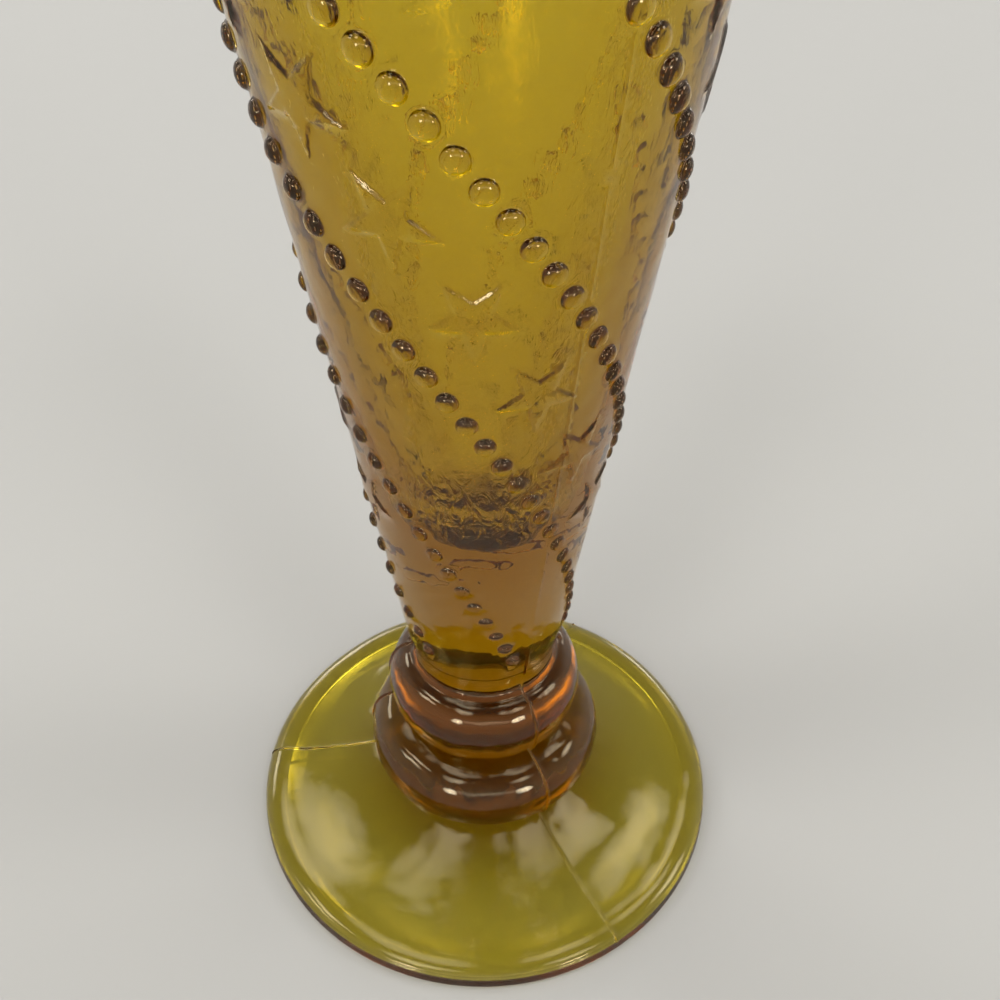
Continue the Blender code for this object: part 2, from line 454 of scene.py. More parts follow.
def swirl_height(turn):
    """How high a string is when it has gone this many degrees past the front: it drops by the
    lead in each turn, and by a little more the further it is from a sixth of a turn."""
    turns = turn / 360
    return SWIRL_HEIGHT - SWIRL_LEAD * turns - SWIRL_STEEPENING * (turns - 1 / STRINGS) ** 2


def swirl_turn(height):
    """How many degrees a string has gone past the front at a height: the root of the quadratic
    in swirl_height."""
    line = SWIRL_LEAD - SWIRL_STEEPENING * 2 / STRINGS
    rest = SWIRL_STEEPENING / STRINGS**2 + height - SWIRL_HEIGHT
    root = np.sqrt(np.maximum(line * line - 4 * SWIRL_STEEPENING * rest, 0))
    return 360 * (root - line) / (2 * SWIRL_STEEPENING)


def bead_levels(sizes):
    """The turns and heights of one string's beads."""
    turn = SWIRL_START + BEAD_STEP * np.arange(-60, 60)
    height = swirl_height(turn)
    kept = (height > TAPER_BASE + PLAIN_BASE) & (height < sizes.height - PLAIN_BAND)
    return turn[kept], height[kept]


def bead_radius(height, sizes):
    """The beads grow evenly with height."""
    grown = sizes.bead_mouth_radius - sizes.bead_stem_radius
    return sizes.bead_stem_radius + share_of_taper(height, sizes) * grown


def star_levels(sizes):
    """The turns and heights of one band's stars."""
    turn = STAR_START + STAR_STEP * np.arange(-18, 18)
    height = swirl_height(turn + 180 / STRINGS)
    highest = sizes.height - PLAIN_BAND - sizes.star_mouth_radius / 2
    kept = (height > STAR_LOWEST) & (height < highest)
    return turn[kept], height[kept]


def star_radius(height, sizes):
    """The stars grow evenly with height, measured to their points."""
    grown = sizes.star_mouth_radius - sizes.star_stem_radius
    return sizes.star_stem_radius + share_of_taper(height, sizes) * grown


def nearest_bead(azimuth, height, sizes):
    """For each point, how far the nearest bead's centre is, as a share of that bead's radius, and
    the radius. The beads stand in level rows, so the three rows nearest in height are tried, and
    in each the string that passes closest."""
    turns = bead_levels(sizes)[0]
    at = swirl_turn(height)
    share = np.full(np.shape(height), 9.0)
    size = np.full(np.shape(height), 0.001)
    for shift in (-1, 0, 1):
        turn = SWIRL_START + BEAD_STEP * (np.round((at - SWIRL_START) / BEAD_STEP) + shift)
        level = swirl_height(turn)
        apart = np.mod(azimuth - turn + 180 / STRINGS, 360 / STRINGS) - 180 / STRINGS
        across = np.radians(apart) * taper_radius(height, sizes)
        upward = (height - level) * math.hypot(1, taper_slope(sizes))
        radius = bead_radius(level, sizes)
        there = (turn > turns[0] - 1) & (turn < turns[-1] + 1)
        away = np.where(there, np.hypot(across, upward) / radius, 9.0)
        size = np.where(away < share, radius, size)
        share = np.minimum(away, share)
    return share, size


def nearest_star(azimuth, height, sizes):
    """For each point, how far it lies outside the outline of the nearest star, in metres, and
    less than nothing inside. A star's ten edges are all alike once the angle round its centre is
    folded into a tenth of a turn, so the distance is measured from one edge."""
    turns = star_levels(sizes)[0]
    at = swirl_turn(height) - 180 / STRINGS
    outside = np.full(np.shape(height), 0.009)
    for shift in (-1, 0, 1):
        turn = STAR_START + STAR_STEP * (np.round((at - STAR_START) / STAR_STEP) + shift)
        level = swirl_height(turn + 180 / STRINGS)
        apart = np.mod(azimuth - turn + 180 / STAR_BANDS, 360 / STAR_BANDS) - 180 / STAR_BANDS
        across = np.radians(apart) * taper_radius(height, sizes)
        upward = (height - level) * math.hypot(1, taper_slope(sizes))
        radius = star_radius(level, sizes)
        angle = np.arctan2(across, -upward)
        folded = np.abs(np.mod(angle + math.pi / 5, 2 * math.pi / 5) - math.pi / 5)
        away = np.hypot(across, upward)
        inner = radius * STAR_WAIST
        edge_x = inner * math.cos(math.pi / 5) - radius
        edge_y = inner * math.sin(math.pi / 5)
        past = edge_y * (away * np.cos(folded) - radius) - edge_x * away * np.sin(folded)
        distance = past / np.hypot(edge_x, edge_y)
        there = (turn > turns[0] - 1) & (turn < turns[-1] + 1)
        outside = np.minimum(outside, np.where(there, distance, 0.009))
    return outside


def soft_step(value, low, high):
    """0 below low, 1 above high, and three parts square less two parts cube between."""
    share = np.clip((value - low) / (high - low), 0, 1)
    return share * share * (3 - 2 * share)


def ripple(azimuth, along, wave):
    """Gentle unevenness: the wave's height times a sum of cosine waves, scaled to a spread of
    about one. Each has a whole number of crests round the vase, counted on a circle of the wave
    radius, and its own direction, length and phase."""
    height, length, seed = wave
    chance = np.random.default_rng(seed)
    heading = chance.uniform(0, 2 * math.pi, WAVE_COUNT)
    pitch = 2 * math.pi / length * chance.uniform(0.6, 1.4, WAVE_COUNT)
    phase = chance.uniform(0, 2 * math.pi, WAVE_COUNT)
    crests = np.round(pitch * np.cos(heading) * WAVE_RADIUS)
    waves = (
        crests * np.radians(azimuth)[..., None]
        + (pitch * np.sin(heading)) * along[..., None]
        + phase
    )
    return height * (np.cos(waves).sum(-1) / math.sqrt(WAVE_COUNT / 2))


class Skin:
    """The skin of the vase as a function of azimuth and distance along the section."""

    def __init__(self, sizes):
        self.sizes = sizes
        self.along, self.radius, self.height = vase_section(sizes)
        self.length = self.along[-1]
        out = np.gradient(self.radius, self.along)
        up = np.gradient(self.height, self.along)
        size = np.hypot(out, up)
        self.out = up / size
        self.up = -out / size
        outer = self.along < self.along[np.argmax(self.height)]
        self.at = {}
        levels = {"taper": TAPER_BASE + NET_ABOVE_BASE, "lip": sizes.height - NET_BELOW_LIP}
        # On the last 4000 points of the outer side the height only rises
        for name, level in levels.items():
            self.at[name] = np.interp(level, self.height[outer][-4000:], self.along[outer][-4000:])
        # The foot's edge is the widest place of the first 3000
        self.at["rim"] = self.along[outer][np.argmax(self.radius[outer][:3000])]
        rim = (self.along > self.at["rim"]) & (self.along < self.at["rim"] + 0.004)
        self.at["parting"] = np.interp(PARTING_LINE, self.height[rim], self.along[rim])
        self.at["crown"] = self.along[np.argmax(self.height)]

    def relief(self, azimuth, along):
        """How far the skin stands out of its plain section. A bead is half an ellipsoid: its rise
        times the square root of 1 less the square of the distance from its middle, as a share of
        its radius, with a soft corner where it meets the wall. A star is a flat top with a soft
        edge. A mould seam is a bell-shaped ridge. Ripples of two lengths run over the outer skin
        and the cavity."""
        sizes = self.sizes
        radius = np.interp(along, self.along, self.radius)
        height = np.interp(along, self.along, self.height)
        outer = soft_step(along, self.at["rim"], self.at["rim"] + 0.003)
        outer = outer * (1 - soft_step(along, self.at["crown"] - 0.004, self.at["crown"]))
        inner = soft_step(along, self.at["crown"], self.at["crown"] + 0.006)
        inner = inner * (1 - soft_step(along, self.length - 0.006, self.length - 0.001))
        on_taper = soft_step(along, self.at["taper"] - 0.003, self.at["taper"] + 0.004)
        under = soft_step(along, 0.001, 0.006) * (1 - soft_step(along, 0.032, 0.035))
        rise = ripple(azimuth, along, OUTER_WAVE) * outer
        rise = rise + ripple(azimuth, along, FINE_WAVE) * outer
        rise = rise + ripple(azimuth, along * CAVITY_DRAWN, CAVITY_WAVE) * inner
        rise = rise + ripple(azimuth, along, UNDERSIDE_WAVE) * under
        from_parting = (along - self.at["parting"]) / PARTING_WIDTH
        rise = rise + PARTING_RISE * np.exp(-0.5 * from_parting**2)
        for seam in MOULD_SEAMS:
            apart = np.mod(azimuth - seam + 180, 360) - 180
            across = np.radians(apart) * radius
            ridge = np.exp(-0.5 * (across / SEAM_WIDTH) ** 2)
            left = 1 - (1 - SEAM_LEFT_ON_TAPER) * on_taper
            rise = rise + sizes.seam_rise * ridge * outer * left
        walled = (along > self.at["taper"] - 0.001) & (along < self.at["lip"] + 0.001)
        share, size = nearest_bead(azimuth, height, sizes)
        ball = np.sqrt(np.maximum(1 - share**2, 0))
        dome = np.where(share < 1, ball, BEAD_FALL * (1 - share))
        cap = size * sizes.bead_rise * dome
        cap = 0.5 * (cap + np.sqrt(cap * cap + BEAD_CORNER**2))
        bead = np.where(walled & (share < 1.6), cap * (1 - soft_step(share, 1.2, 1.5)), 0)
        edge = nearest_star(azimuth, height, sizes)
        star = sizes.star_rise * (1 - soft_step(edge, -STAR_EDGE_INSIDE, STAR_EDGE_OUTSIDE))
        return rise + np.maximum(bead, np.where(walled, star, 0))

    def points(self, azimuth, along):
        """Places on the skin: the section's point, moved out along the section's own normal by
        the relief, and turned to the azimuth."""
        azimuth, along = np.broadcast_arrays(azimuth, along)
        rise = self.relief(azimuth, along)
        radius = np.interp(along, self.along, self.radius)
        radius = radius + rise * np.interp(along, self.along, self.out)
        height = np.interp(along, self.along, self.height)
        height = height + rise * np.interp(along, self.along, self.up)
        angle = np.radians(azimuth)
        return np.stack([radius * np.sin(angle), -radius * np.cos(angle), height], -1)

    def normals(self, azimuth, along):
        """Directions out of the skin: the cross product of its slopes, each taken between points
        0.06 mm to either side."""
        radius = np.maximum(np.interp(along, self.along, self.radius), 0.0005)
        step = np.degrees(NORMAL_REACH / radius)
        across = self.points(azimuth + step, along) - self.points(azimuth - step, along)
        ahead = np.minimum(along + NORMAL_REACH, self.length)
        behind = np.maximum(along - NORMAL_REACH, 0)
        upward = self.points(azimuth, ahead) - self.points(azimuth, behind)
        normal = np.cross(across, upward)
        size = np.linalg.norm(normal, axis=-1, keepdims=True)
        return normal / np.maximum(size, 1e-12)

    def rows(self, start, end, widest, bend):
        """Distances along the section for the rows of a grid: close together where the section
        bends, and never further apart than widest."""
        inside = (self.along >= start) & (self.along <= end)
        along = self.along[inside]
        angle = np.unwrap(np.arctan2(self.up[inside], self.out[inside]))
        turning = np.abs(np.gradient(angle, along))
        crowd = np.cumsum(1 / widest + np.degrees(turning) / bend)
        crowd = (crowd - crowd[0]) / (crowd[-1] - crowd[0])
        spacing = along[1] - along[0]
        count = int(np.ceil((1 / widest + np.degrees(turning) / bend).sum() * spacing)) + 1
        rows = np.interp(np.linspace(0, 1, count), crowd, along)
        rows[0], rows[-1] = start, end
        if start < self.at["parting"] < end:
            rows = rows[np.abs(rows - self.at["parting"]) > 0.0005]
            fine = self.at["parting"] + 0.00012 * np.arange(-4, 5)
            rows = np.sort(np.concatenate([rows, fine]))
        return rows


def columns(radius):
    """The azimuths of a row's points, by the row's radius: one every three degrees, and seven
    across each mould seam at set distances from it, drawn together where a row is too small."""
    plain = np.arange(-180.0, 180.0, 3.0)
    seams = np.array(MOULD_SEAMS)
    apart = np.abs(np.mod(plain[:, None] - seams + 180, 360) - 180).min(1)
    plain = plain[apart > 3.1]
    places = np.concatenate([plain, np.repeat(seams, len(SEAM_COLUMNS))])
    sideways = np.concatenate([np.zeros(len(plain)), np.tile(SEAM_COLUMNS, len(seams))])
    order = np.argsort(places + sideways * 1000)
    wide = np.maximum(radius[..., None], SEAM_SMALLEST_RADIUS)
    return places[order] + np.degrees(sideways[order] / wide)


def wall_points(skin):
    """Azimuths and heights of the points that the relief on the taper needs: rings round each
    bead, a fine lattice along each star's outline, lines along the mould seams, and a coarse
    lattice over the plain glass between them."""
    sizes = skin.sizes
    low = np.interp(skin.at["taper"], skin.along, skin.height)
    high = np.interp(skin.at["lip"], skin.along, skin.height)
    chance = np.random.default_rng(11)
    slant = math.hypot(1, taper_slope(sizes))

    turn, level = bead_levels(sizes)
    shares, counts = zip(*BEAD_RINGS)
    ring_share = np.repeat(shares, counts)
    ring_angle = np.concatenate([np.arange(n) / n + 0.37 * n for n in counts])
    ring_angle = ring_angle * 2 * math.pi
    size = bead_radius(level, sizes)
    up = (level[:, None] + size[:, None] * ring_share * np.sin(ring_angle) / slant).ravel()
    side = (size[:, None] * ring_share * np.cos(ring_angle)).ravel()
    side = np.degrees(side / taper_radius(up, sizes)) + np.repeat(turn, len(ring_share))
    strings = np.arange(STRINGS) * 360 / STRINGS
    beads = np.stack([(side[:, None] - strings).ravel(), np.repeat(up, STRINGS)])

    def lattice(spacing):
        """Level rows of points in a triangular pattern, each moved a little at random."""
        rows = np.arange(low + spacing * 0.6, high - spacing * 0.5, spacing * 0.866)
        sets = []
        for i, row in enumerate(rows):
            count = int(2 * math.pi * taper_radius(row, sizes) / spacing)
            around = (np.arange(count) + 0.5 * (i % 2)) * 360 / count - 180
            sets.append(np.stack([around, np.full(count, row)]))
        grid = np.concatenate(sets, 1)
        grid[0] += chance.uniform(-0.02, 0.02, grid.shape[1])
        grid[1] += chance.uniform(-0.00002, 0.00002, grid.shape[1])
        return grid

    # Fine points only along the stars' outlines, and clear of the beads' rings
    fine = lattice(0.00036)
    edge = nearest_star(fine[0], fine[1], sizes)
    share = nearest_bead(fine[0], fine[1], sizes)[0]
    fine = fine[:, (edge > -0.0006) & (edge < 0.00034) & (share > 1.36)]
    # Coarse points everywhere else, and clear of the seams
    coarse = lattice(0.00125)
    edge = nearest_star(coarse[0], coarse[1], sizes)
    share = nearest_bead(coarse[0], coarse[1], sizes)[0]
    coarse = coarse[:, ((edge < -0.001) | (edge > 0.0007)) & (share > 1.5)]
    level = np.arange(low + 0.0009, high - 0.0008, 0.0009)
    place, level, offset = np.meshgrid(MOULD_SEAMS, level, SEAM_COLUMNS, indexing="ij")
    seams = np.stack(
        [
            (place + np.degrees(offset / taper_radius(level, sizes))).ravel(),
            level.ravel() + 0.0003 * np.mod(np.arange(level.size), 2),
        ]
    )
    share = nearest_bead(seams[0], seams[1], sizes)[0]
    seams = seams[:, share > 1.34]
    apart = np.full(coarse.shape[1], 1.0)
    for seam in MOULD_SEAMS:
        away = np.abs(np.mod(coarse[0] - seam + 180, 360) - 180)
        apart = np.minimum(apart, np.radians(away) * taper_radius(coarse[1], sizes))
    coarse = coarse[:, apart > 0.0009]
    return np.concatenate([beads, fine, coarse, seams], 1)


def wall_net(skin, low_ring, high_ring):
    """Joins the points on the taper into triangles. A regular grid fine enough for the beads
    would need far too many faces, so the wall is slit along a line between two strings, laid out
    flat with its angles kept (azimuth across, and the slant distance over the radius, added up,
    as height), and triangulated there. Gives the inner points and the triangles, in which the
    lower ring's points come first, then the upper ring's, then the inner points."""
    sizes = skin.sizes
    low = np.interp(skin.at["taper"], skin.along, skin.height)
    high = np.interp(skin.at["lip"], skin.along, skin.height)
    slope = taper_slope(sizes)

    def slit(height):
        """The azimuth of the slit at a height."""
        share = (height - low) / (high - low)
        return swirl_turn(height) + 180 / STRINGS + shift[0] * (1 - share) + shift[1] * share

    def from_slit(azimuth, height):
        """The same azimuth, less whole turns, within the turn that ends at the slit."""
        return np.mod(azimuth - slit(height), 360) - 360 + slit(height)

    shift = (0, 0)
    nearest = []
    for ring, level in ((low_ring, low), (high_ring, high)):
        apart = np.mod(ring - slit(level) + 180, 360) - 180
        nearest.append(np.argmin(np.abs(apart)))
    shift = tuple(
        (np.mod(ring[i] - slit(level) + 180, 360) - 180)
        for ring, level, i in ((low_ring, low, nearest[0]), (high_ring, high, nearest[1]))
    )
    levels = np.arange(low + 0.0011, high - 0.0010, 0.0011)
    bottom = np.roll(np.arange(len(low_ring)), -nearest[0])
    top = np.roll(np.arange(len(high_ring)), -nearest[1])
    bottom_at = slit(low) - 360 + np.mod(low_ring[bottom] - low_ring[bottom[0]], 360)
    top_at = slit(high) - 360 + np.mod(high_ring[top] - high_ring[top[0]], 360)
    bottom_at = np.append(bottom_at, slit(low))
    top_at = np.append(top_at, slit(high))
    bottom = np.append(bottom, bottom[0])
    top = np.append(top, top[0])
    # The free points keep a little clear of the rings above and below and of the slit
    free = wall_points(skin)
    free[0] = from_slit(free[0], free[1])
    clear = np.radians(np.minimum(slit(free[1]) - free[0], free[0] + 360 - slit(free[1])))
    inside = (free[1] > low + 0.0003) & (free[1] < high - 0.0003)
    free = free[:, inside & (clear * taper_radius(free[1], sizes) > 0.0006)]

    azimuth = np.concatenate(
        [bottom_at, slit(levels), top_at[::-1], slit(levels[::-1]) - 360, free[0]]
    )
    height = np.concatenate(
        [
            np.full(len(bottom_at), low),
            levels,
            np.full(len(top_at), high),
            levels[::-1],
            free[1],
        ]
    )
    flat = np.radians(azimuth)
    upward = math.hypot(1, slope) / slope * np.log(taper_radius(height, sizes) / TAPER_BASE_RADIUS)
    border = len(azimuth) - free.shape[1]
    loop = list(range(border))
    net = delaunay_2d_cdt(
        [Vector(pair) for pair in zip(flat, upward)],
        [(i, (i + 1) % border) for i in loop],
        [loop],
        1,
        1e-7,
    )
    start = len(low_ring) + len(high_ring)
    names = np.concatenate(
        [
            bottom,
            start + np.arange(len(levels)),
            len(low_ring) + top[::-1],
            start + np.arange(len(levels))[::-1],
            start + len(levels) + np.arange(free.shape[1]),
        ]
    )
    origin = np.array([entry[0] for entry in net[3]])
    triangles = names[origin[np.array(net[2])]]
    inner = np.stack(
        [np.concatenate([slit(levels), free[0]]), np.concatenate([levels, free[1]])]
    )
    return inner, triangles


def vase_mesh(sizes):
    """The whole skin as one closed mesh: a grid from the middle of the underside to the foot of
    the taper, the net over the taper, and a grid from there over the lip to the cavity's floor."""
    skin = Skin(sizes)
    rows_low = skin.rows(0.0, skin.at["taper"], 0.0019, 8.5)[1:]
    rows_high = skin.rows(skin.at["lip"], skin.length, 0.0034, 10.0)[:-1]
    columns_low = columns(np.interp(rows_low, skin.along, skin.radius))
    columns_high = columns(np.interp(rows_high, skin.along, skin.radius))
    around = columns_low.shape[1]
    inner, triangles = wall_net(skin, columns_low[-1], columns_high[0])
    inner_along = np.interp(inner[1], *outer_heights(skin))

    azimuth = np.concatenate([columns_low.ravel(), columns_high.ravel(), inner[0], [0.0, 0.0]])
    along = np.concatenate(
        [
            np.repeat(rows_low, around),
            np.repeat(rows_high, around),
            inner_along,
            [0.0, skin.length],
        ]
    )
    first_high = columns_low.size
    first_inner = first_high + columns_high.size
    pole_low = first_inner + inner.shape[1]
    pole_high = pole_low + 1

    def grid(first, rows):
        """The four-sided faces between rows of points that close into rings."""
        corner = first + np.arange(rows * around).reshape(rows, around)
        beside = np.roll(corner, -1, 1)
        quads = np.stack([corner[:-1], beside[:-1], beside[1:], corner[1:]], -1)
        return quads.reshape(-1, 4)

    quads = np.concatenate([grid(0, len(rows_low)), grid(first_high, len(rows_high))])
    ring = np.arange(around)
    last = first_inner - around
    lowest = np.stack([np.full(around, pole_low), np.roll(ring, -1), ring], 1)
    highest = np.stack([last + ring, last + np.roll(ring, -1), np.full(around, pole_high)], 1)
    names = np.concatenate(
        [
            first_high - around + ring,
            first_high + ring,
            first_inner + np.arange(inner.shape[1]),
        ]
    )
    triangles = np.concatenate([names[triangles], lowest, highest])

    normals = skin.normals(azimuth, along)
    normals[pole_low] = (0, 0, -1)
    normals[pole_high] = (0, 0, 1)
    points = skin.points(azimuth, along)

    mesh = bpy.data.meshes.new("amber_vase")
    corners = np.concatenate([quads.ravel(), triangles.ravel()]).astype(np.int32)
    starts = np.concatenate(
        [np.arange(len(quads)) * 4, quads.size + np.arange(len(triangles)) * 3]
    ).astype(np.int32)
    mesh.vertices.add(len(points))
    mesh.vertices.foreach_set("co", points.astype(np.float32).ravel())
    mesh.loops.add(len(corners))
    mesh.loops.foreach_set("vertex_index", corners)
    mesh.polygons.add(len(starts))
    mesh.polygons.foreach_set("loop_start", starts)
    mesh.update(calc_edges=True)
    mesh.validate(verbose=True)
    mesh.shade_smooth()
    mesh.normals_split_custom_set_from_vertices(normals.astype(np.float32))
    finishes = {
        "cavity": soft_step(along, skin.at["crown"] + 0.002, skin.at["crown"] + 0.008),
        "crinkle": crinkle(azimuth, along, skin),
        "underside": 1 - soft_step(along, 0.0345, 0.0362),
    }
    for name, values in finishes.items():
        attribute = mesh.attributes.new(name, "FLOAT", "POINT")
        attribute.data.foreach_set("value", values.astype(np.float32))
    return mesh


def crinkle(azimuth, along, skin):
    """How strongly the cavity's wall is wrinkled, where the glass chilled against the plunger: a
    little all over, more in upright bands that fade out at their edges and ends, and fully over
    the rounded end."""
    height = np.interp(along, skin.along, skin.height)
    inside = soft_step(along, skin.at["crown"] + 0.002, skin.at["crown"] + 0.008)
    strength = CHILL_ALL_OVER + (1 - CHILL_ALL_OVER) * (1 - soft_step(height, *CHILL_END))
    for middle, half_width, low, high in CHILL_BANDS:
        apart = np.abs(np.mod(azimuth - middle + 180, 360) - 180) / half_width
        band = 1 - soft_step(apart, 0.6, 1.1)
        band = band * soft_step(height, low - 0.006, low)
        band = band * (1 - soft_step(height, high, high + 0.008))
        strength = np.maximum(strength, CHILL_IN_BANDS * band)
    return strength * inside


def outer_heights(skin):
    """Heights and distances along the section on the taper's outer side, for looking one up by
    the other."""
    kept = (skin.along > skin.at["taper"] - 0.002) & (skin.along < skin.at["lip"] + 0.002)
    return skin.height[kept], skin.along[kept]


def add_node(tree, kind, settings=None, links=None):
    """Adds one node: its settings by name or socket, and its links as input and output socket."""
    node = tree.nodes.new(kind)
    for name, value in (settings or {}).items():
        if isinstance(name, int) or name in node.inputs:
            node.inputs[name].default_value = value
        else:
            setattr(node, name, value)
    for name, socket in (links or {}).items():
        tree.links.new(socket, node.inputs[name])
    return node


def new_material(name):
    """An empty material, with its node tree."""
    material = bpy.data.materials.new(name)
    material.use_nodes = True
    material.node_tree.nodes.clear()
    return material, material.node_tree


def pressed_amber_glass(look):
    """Soda-lime glass tinted amber all through, pressed in an iron mould. The outer skin was
    fire polished, which leaves a soft unevenness like orange peel. The plunger left fine drawn
    streaks down the cavity, and the mould left the underside stippled, so it looks frosted. What
    the skin mirrors is warmed a little, so that a pale floor doesn't turn the amber pinkish."""
    material, tree = new_material("pressed_amber_glass")
    place = add_node(tree, "ShaderNodeTexCoord").outputs["Object"]
    cavity = add_node(tree, "ShaderNodeAttribute", {"attribute_name": "cavity"}).outputs["Fac"]
    under = add_node(tree, "ShaderNodeAttribute", {"attribute_name": "underside"}).outputs["Fac"]

    # Orange peel, crests about 1.6 mm apart
    peel = add_node(
        tree,
        "ShaderNodeTexNoise",
        {"Scale": 620.0, "Detail": 2.0, "Roughness": 0.55},
        {"Vector": place},
    )
    peel_bump = add_node(
        tree,
        "ShaderNodeBump",
        {"Strength": 0.5, "Distance": 0.00003},
        {"Height": peel.outputs["Fac"]},
    )

    # Streaks down the cavity, about 0.7 mm across and 12 mm long
    drawn = add_node(tree, "ShaderNodeMapping", {"Scale": (1.0, 1.0, 0.06)}, {"Vector": place})
    streaks = add_node(
        tree,
        "ShaderNodeTexNoise",
        {"Scale": 1100.0, "Detail": 3.0, "Roughness": 0.6},
        {"Vector": drawn.outputs["Vector"]},
    )
    streak_height = add_node(
        tree, "ShaderNodeMath", {"operation": "MULTIPLY"}, {0: streaks.outputs["Fac"], 1: cavity}
    )
    streak_bump = add_node(
        tree,
        "ShaderNodeBump",
        {"Strength": 0.7, "Distance": 0.00004},
        {"Height": streak_height.outputs[0], "Normal": peel_bump.outputs["Normal"]},
    )

    # Chill wrinkles in the cavity, about 1 mm apart and drawn out upwards
    wrinkled = add_node(tree, "ShaderNodeAttribute", {"attribute_name": "crinkle"}).outputs["Fac"]
    wrinkle_place = add_node(
        tree, "ShaderNodeMapping", {"Scale": (1.0, 1.0, 0.4)}, {"Vector": place}
    )
    wrinkles = add_node(
        tree,
        "ShaderNodeTexNoise",
        {"Scale": 760.0, "Detail": 2.5, "Roughness": 0.55, "Distortion": 1.2},
        {"Vector": wrinkle_place.outputs["Vector"]},
    )
    wrinkle_height = add_node(
        tree, "ShaderNodeMath", {"operation": "MULTIPLY"}, {0: wrinkles.outputs["Fac"], 1: wrinkled}
    )
    wrinkle_bump = add_node(
        tree,
        "ShaderNodeBump",
        {"Strength": 1.0, "Distance": 0.0009},
        {"Height": wrinkle_height.outputs[0], "Normal": streak_bump.outputs["Normal"]},
    )

    # Grain of the mould on the underside, about 0.6 mm
    grain = add_node(
        tree, "ShaderNodeTexNoise", {"Scale": 1700.0, "Detail": 2.0}, {"Vector": place}
    )
    grain_height = add_node(
        tree, "ShaderNodeMath", {"operation": "MULTIPLY"}, {0: grain.outputs["Fac"], 1: under}
    )
    stipple_bump = add_node(
        tree,
        "ShaderNodeBump",
        {"Strength": 0.3, "Distance": 0.00003},
        {"Height": grain_height.outputs[0], "Normal": wrinkle_bump.outputs["Normal"]},
    )

    rough_inside = add_node(
        tree,
        "ShaderNodeMix",
        {"data_type": "FLOAT", 2: look.polish, 3: look.plunger},
        {0: cavity},
    )
    rough = add_node(
        tree,
        "ShaderNodeMix",
        {"data_type": "FLOAT", 3: look.underside},
        {0: under, 2: rough_inside.outputs[0]},
    )
    glass = add_node(
        tree,
        "ShaderNodeBsdfPrincipled",
        {
            "Base Color": (1.0, 1.0, 1.0, 1.0),
            "Metallic": 0.0,
            "IOR": look.refraction,
            "Transmission Weight": 1.0,
            "Specular Tint": (*look.reflections, 1.0),
        },
        {"Roughness": rough.outputs[0], "Normal": stipple_bump.outputs["Normal"]},
    )
    depth = add_node(
        tree,
        "ShaderNodeVolumeAbsorption",
        {"Color": (*look.tint, 1.0), "Density": look.density},
    )
    add_node(
        tree,
        "ShaderNodeOutputMaterial",
        {},
        {"Surface": glass.outputs["BSDF"], "Volume": depth.outputs["Volume"]},
    )
    return material


def matt_floor(look):
    """Matt painted board: even, with a slight mottle that keeps it from looking drawn."""
    material, tree = new_material("matt_floor")
    place = add_node(tree, "ShaderNodeTexCoord").outputs["Object"]
    mottle = add_node(tree, "ShaderNodeTexNoise", {"Scale": 60.0, "Detail": 4.0}, {"Vector": place})
    rough = add_node(
        tree,
        "ShaderNodeMapRange",
        {"To Min": 0.75, "To Max": 0.85},
        {"Value": mottle.outputs["Fac"]},
    )
    board = add_node(
        tree,
        "ShaderNodeBsdfPrincipled",
        {"Base Color": (*look.floor, 1.0), "Specular IOR Level": 0.15},
        {"Roughness": rough.outputs["Result"]},
    )
    add_node(tree, "ShaderNodeOutputMaterial", {}, {"Surface": board.outputs["BSDF"]})
    return material


class VASE_OT_press(bpy.types.Operator):
    """Press the amber glass vase in one piece, beads, stars and mould seams included"""

    bl_idname = "vase.press"
    bl_label = "Press the vase"

    def execute(self, context):
        scene = context.scene
        mesh = vase_mesh(scene.vase_sizes)
        vase = bpy.data.objects.new("amber_vase", mesh)
        scene.collection.objects.link(vase)
        mesh.materials.append(pressed_amber_glass(scene.vase_glass))
        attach(vase, "root")
        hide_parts(*GLASS_NODES)
        return {"FINISHED"}


